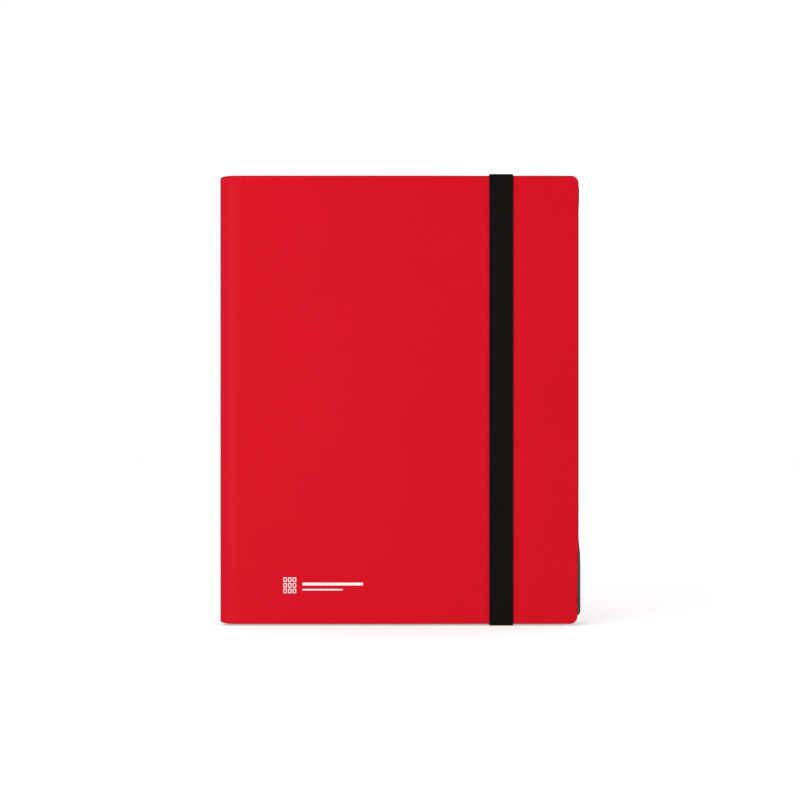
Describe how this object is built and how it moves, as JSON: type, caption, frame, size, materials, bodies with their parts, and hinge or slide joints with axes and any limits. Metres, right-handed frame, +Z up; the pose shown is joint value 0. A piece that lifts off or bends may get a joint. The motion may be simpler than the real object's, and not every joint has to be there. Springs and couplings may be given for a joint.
{
  "type": "trading card binder",
  "caption": "Side-loading trading card binder: folded red plastic cover, black leaves with clear pockets bound at the spine, and an elastic strap that holds it shut.",
  "frame": {"origin": "middle of the bottom of the binder's box, standing upright", "axes": "+Z up along the spine, spine at -X and fore-edge at +X, front cover facing -Y"},
  "size_m": [0.2408, 0.0324, 0.3024],
  "materials": {
    "red_sheet": "fine matte embossed polypropylene",
    "black_sheet": "matte black polypropylene",
    "clear_film": "clear soft film",
    "elastic": "ribbed woven elastic",
    "steel": "crimped steel strip"
  },
  "bodies": {
    "back_cover": {"cover_back_panel": "red_sheet", "strap_bottom_leg": "elastic", "strap_top_leg": "elastic", "strap_bottom_tail": "elastic", "strap_top_tail": "elastic", "strap_bottom_crimp": "steel", "strap_top_crimp": "steel"},
    "spine": {"cover_spine": "red_sheet", "binding_strip": "black_sheet"},
    "front_cover": {"cover_front_panel": "red_sheet"},
    "strap": {"strap_front_run": "elastic"},
    "leaf_01": {"leaf_01_backing": "black_sheet", "leaf_01_pockets": "clear_film"},
    "leaf_02": {"leaf_02_backing": "black_sheet", "leaf_02_pockets": "clear_film"},
    "leaf_03": {"leaf_03_backing": "black_sheet", "leaf_03_pockets": "clear_film"},
    "leaf_04": {"leaf_04_backing": "black_sheet", "leaf_04_pockets": "clear_film"},
    "leaf_05": {"leaf_05_backing": "black_sheet", "leaf_05_pockets": "clear_film"},
    "leaf_06": {"leaf_06_backing": "black_sheet", "leaf_06_pockets": "clear_film"},
    "leaf_07": {"leaf_07_backing": "black_sheet", "leaf_07_pockets": "clear_film"},
    "leaf_08": {"leaf_08_backing": "black_sheet", "leaf_08_pockets": "clear_film"},
    "leaf_09": {"leaf_09_backing": "black_sheet", "leaf_09_pockets": "clear_film"},
    "leaf_10": {"leaf_10_backing": "black_sheet", "leaf_10_pockets": "clear_film"},
    "leaf_11": {"leaf_11_backing": "black_sheet", "leaf_11_pockets": "clear_film"},
    "leaf_12": {"leaf_12_backing": "black_sheet", "leaf_12_pockets": "clear_film"},
    "leaf_13": {"leaf_13_backing": "black_sheet", "leaf_13_pockets": "clear_film"},
    "leaf_14": {"leaf_14_backing": "black_sheet", "leaf_14_pockets": "clear_film"},
    "leaf_15": {"leaf_15_backing": "black_sheet", "leaf_15_pockets": "clear_film"},
    "leaf_16": {"leaf_16_backing": "black_sheet", "leaf_16_pockets": "clear_film"},
    "leaf_17": {"leaf_17_backing": "black_sheet", "leaf_17_pockets": "clear_film"},
    "leaf_18": {"leaf_18_backing": "black_sheet", "leaf_18_pockets": "clear_film"},
    "leaf_19": {"leaf_19_backing": "black_sheet", "leaf_19_pockets": "clear_film"},
    "leaf_20": {"leaf_20_backing": "black_sheet", "leaf_20_pockets": "clear_film"}
  },
  "joints": [
    {"name": "back_crease", "type": "hinge", "parent": "back_cover", "child": "spine", "pos_m": [-0.11929, 0.01388, 0.1512], "axis": [0, 0, -1], "range_deg": [0, 90]},
    {"name": "front_crease", "type": "hinge", "parent": "spine", "child": "front_cover", "pos_m": [-0.11929, -0.01388, 0.1512], "axis": [0, 0, -1], "range_deg": [0, 90]},
    {"name": "leaf_01_turn", "type": "hinge", "parent": "spine", "child": "leaf_01", "pos_m": [-0.1135, -0.01273, 0.1512], "axis": [0, 0, -1], "range_deg": [0, 81.83]},
    {"name": "leaf_02_turn", "type": "hinge", "parent": "spine", "child": "leaf_02", "pos_m": [-0.1135, -0.01139, 0.1512], "axis": [0, 0, -1], "range_deg": [0, 73.65]},
    {"name": "leaf_03_turn", "type": "hinge", "parent": "spine", "child": "leaf_03", "pos_m": [-0.1135, -0.01005, 0.1512], "axis": [0, 0, -1], "range_deg": [0, 65.46]},
    {"name": "leaf_04_turn", "type": "hinge", "parent": "spine", "child": "leaf_04", "pos_m": [-0.1135, -0.00871, 0.1512], "axis": [0, 0, -1], "range_deg": [0, 57.28]},
    {"name": "leaf_05_turn", "type": "hinge", "parent": "spine", "child": "leaf_05", "pos_m": [-0.1135, -0.00737, 0.1512], "axis": [0, 0, -1], "range_deg": [0, 49.1]},
    {"name": "leaf_06_turn", "type": "hinge", "parent": "spine", "child": "leaf_06", "pos_m": [-0.1135, -0.00603, 0.1512], "axis": [0, 0, -1], "range_deg": [0, 40.92]},
    {"name": "leaf_07_turn", "type": "hinge", "parent": "spine", "child": "leaf_07", "pos_m": [-0.1135, -0.00469, 0.1512], "axis": [0, 0, -1], "range_deg": [0, 32.74]},
    {"name": "leaf_08_turn", "type": "hinge", "parent": "spine", "child": "leaf_08", "pos_m": [-0.1135, -0.00335, 0.1512], "axis": [0, 0, -1], "range_deg": [0, 24.56]},
    {"name": "leaf_09_turn", "type": "hinge", "parent": "spine", "child": "leaf_09", "pos_m": [-0.1135, -0.00201, 0.1512], "axis": [0, 0, -1], "range_deg": [0, 16.37]},
    {"name": "leaf_10_turn", "type": "hinge", "parent": "spine", "child": "leaf_10", "pos_m": [-0.1135, -0.00067, 0.1512], "axis": [0, 0, -1], "range_deg": [0, 8.19]},
    {"name": "leaf_11_turn", "type": "hinge", "parent": "spine", "child": "leaf_11", "pos_m": [-0.1135, 0.00067, 0.1512], "axis": [0, 0, 1], "range_deg": [0, 8.19]},
    {"name": "leaf_12_turn", "type": "hinge", "parent": "spine", "child": "leaf_12", "pos_m": [-0.1135, 0.00201, 0.1512], "axis": [0, 0, 1], "range_deg": [0, 16.37]},
    {"name": "leaf_13_turn", "type": "hinge", "parent": "spine", "child": "leaf_13", "pos_m": [-0.1135, 0.00335, 0.1512], "axis": [0, 0, 1], "range_deg": [0, 24.56]},
    {"name": "leaf_14_turn", "type": "hinge", "parent": "spine", "child": "leaf_14", "pos_m": [-0.1135, 0.00469, 0.1512], "axis": [0, 0, 1], "range_deg": [0, 32.74]},
    {"name": "leaf_15_turn", "type": "hinge", "parent": "spine", "child": "leaf_15", "pos_m": [-0.1135, 0.00603, 0.1512], "axis": [0, 0, 1], "range_deg": [0, 40.92]},
    {"name": "leaf_16_turn", "type": "hinge", "parent": "spine", "child": "leaf_16", "pos_m": [-0.1135, 0.00737, 0.1512], "axis": [0, 0, 1], "range_deg": [0, 49.1]},
    {"name": "leaf_17_turn", "type": "hinge", "parent": "spine", "child": "leaf_17", "pos_m": [-0.1135, 0.00871, 0.1512], "axis": [0, 0, 1], "range_deg": [0, 57.28]},
    {"name": "leaf_18_turn", "type": "hinge", "parent": "spine", "child": "leaf_18", "pos_m": [-0.1135, 0.01005, 0.1512], "axis": [0, 0, 1], "range_deg": [0, 65.46]},
    {"name": "leaf_19_turn", "type": "hinge", "parent": "spine", "child": "leaf_19", "pos_m": [-0.1135, 0.01139, 0.1512], "axis": [0, 0, 1], "range_deg": [0, 73.65]},
    {"name": "leaf_20_turn", "type": "hinge", "parent": "spine", "child": "leaf_20", "pos_m": [-0.1135, 0.01273, 0.1512], "axis": [0, 0, 1], "range_deg": [0, 81.83]},
    {"name": "strap_release", "type": "hinge", "parent": "back_cover", "child": "strap", "pos_m": [0.0678, 0.0006, 0.1512], "axis": [0, 0, 1], "range_deg": [0, 180], "deforming": ["strap_front_run"]}
  ],
  "couplings": [
    {"joint": "leaf_01_turn", "follows": "front_crease", "ratio": 0.90909},
    {"joint": "leaf_02_turn", "follows": "front_crease", "ratio": 0.81818},
    {"joint": "leaf_03_turn", "follows": "front_crease", "ratio": 0.72727},
    {"joint": "leaf_04_turn", "follows": "front_crease", "ratio": 0.63636},
    {"joint": "leaf_05_turn", "follows": "front_crease", "ratio": 0.54546},
    {"joint": "leaf_06_turn", "follows": "front_crease", "ratio": 0.45454},
    {"joint": "leaf_07_turn", "follows": "front_crease", "ratio": 0.36364},
    {"joint": "leaf_08_turn", "follows": "front_crease", "ratio": 0.27273},
    {"joint": "leaf_09_turn", "follows": "front_crease", "ratio": 0.18182},
    {"joint": "leaf_10_turn", "follows": "front_crease", "ratio": 0.090909},
    {"joint": "leaf_11_turn", "follows": "back_crease", "ratio": 0.090909},
    {"joint": "leaf_12_turn", "follows": "back_crease", "ratio": 0.18182},
    {"joint": "leaf_13_turn", "follows": "back_crease", "ratio": 0.27273},
    {"joint": "leaf_14_turn", "follows": "back_crease", "ratio": 0.36364},
    {"joint": "leaf_15_turn", "follows": "back_crease", "ratio": 0.45454},
    {"joint": "leaf_16_turn", "follows": "back_crease", "ratio": 0.54546},
    {"joint": "leaf_17_turn", "follows": "back_crease", "ratio": 0.63636},
    {"joint": "leaf_18_turn", "follows": "back_crease", "ratio": 0.72727},
    {"joint": "leaf_19_turn", "follows": "back_crease", "ratio": 0.81818},
    {"joint": "leaf_20_turn", "follows": "back_crease", "ratio": 0.90909}
  ]
}
